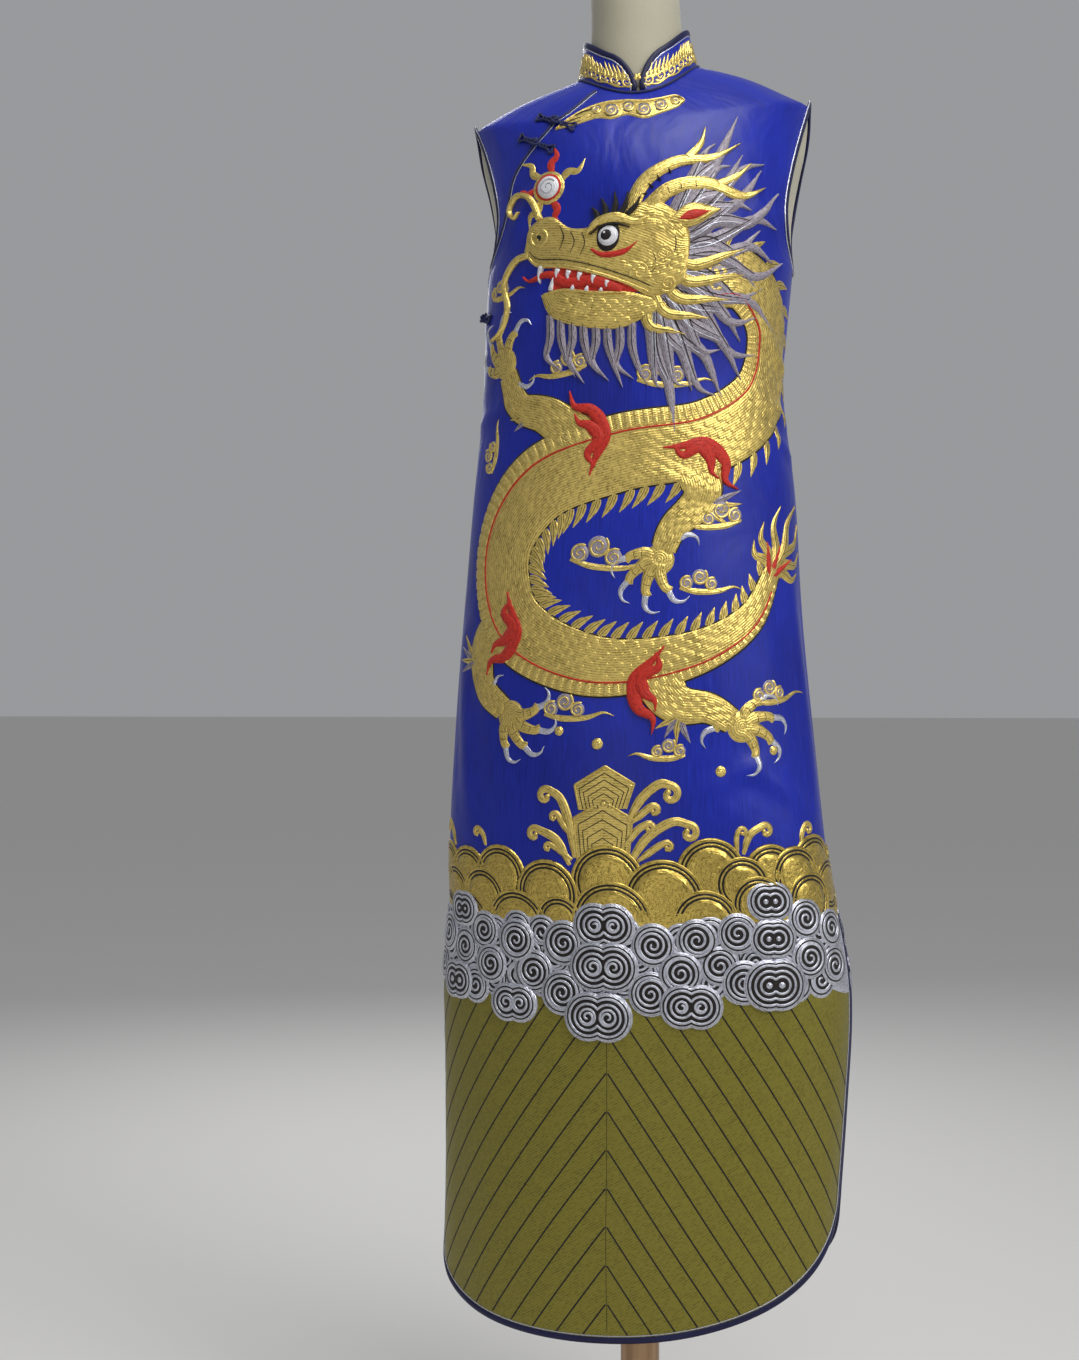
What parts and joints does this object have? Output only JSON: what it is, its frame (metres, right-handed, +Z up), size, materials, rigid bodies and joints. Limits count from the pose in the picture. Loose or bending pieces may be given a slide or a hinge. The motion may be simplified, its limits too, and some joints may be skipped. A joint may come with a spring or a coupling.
{
  "type": "cheongsam on a limbless dress form",
  "caption": "Long sleeveless dress with a stand collar, slanting opening, knotted cord buttons, side slits and a rounded hem, on a limbless form with a round base.",
  "frame": {"origin": "centre of the stand base's underside, on the floor under the pole", "axes": "+Z up, -Y the dress's front, +X the wearer's left"},
  "size_m": [0.448, 0.38, 1.7055],
  "materials": {
    "satin": "satin with metallic embroidery",
    "binding": "satin",
    "cord": "satin cord",
    "form_cloth": "matt cotton",
    "wood": "clear varnish"
  },
  "bodies": {
    "root": {"front_panel": "satin", "front_underlap": "satin", "back_panel": "satin", "collar": "satin", "collar_binding": "binding", "neckline_piping": "cord", "placket_piping": "cord", "armhole_binding_left": "binding", "armhole_binding_right": "binding", "hem_binding_front": "binding", "hem_binding_back": "binding", "frog_1_loop": "cord", "frog_1_knot": "cord", "frog_1_tail": "cord", "frog_2_loop": "cord", "frog_2_knot": "cord", "frog_2_tail": "cord", "frog_3_loop": "cord", "frog_3_knot": "cord", "frog_3_tail": "cord", "form_torso": "form_cloth", "stand_pole": "wood", "stand_base": "wood"}
  },
  "joints": []
}
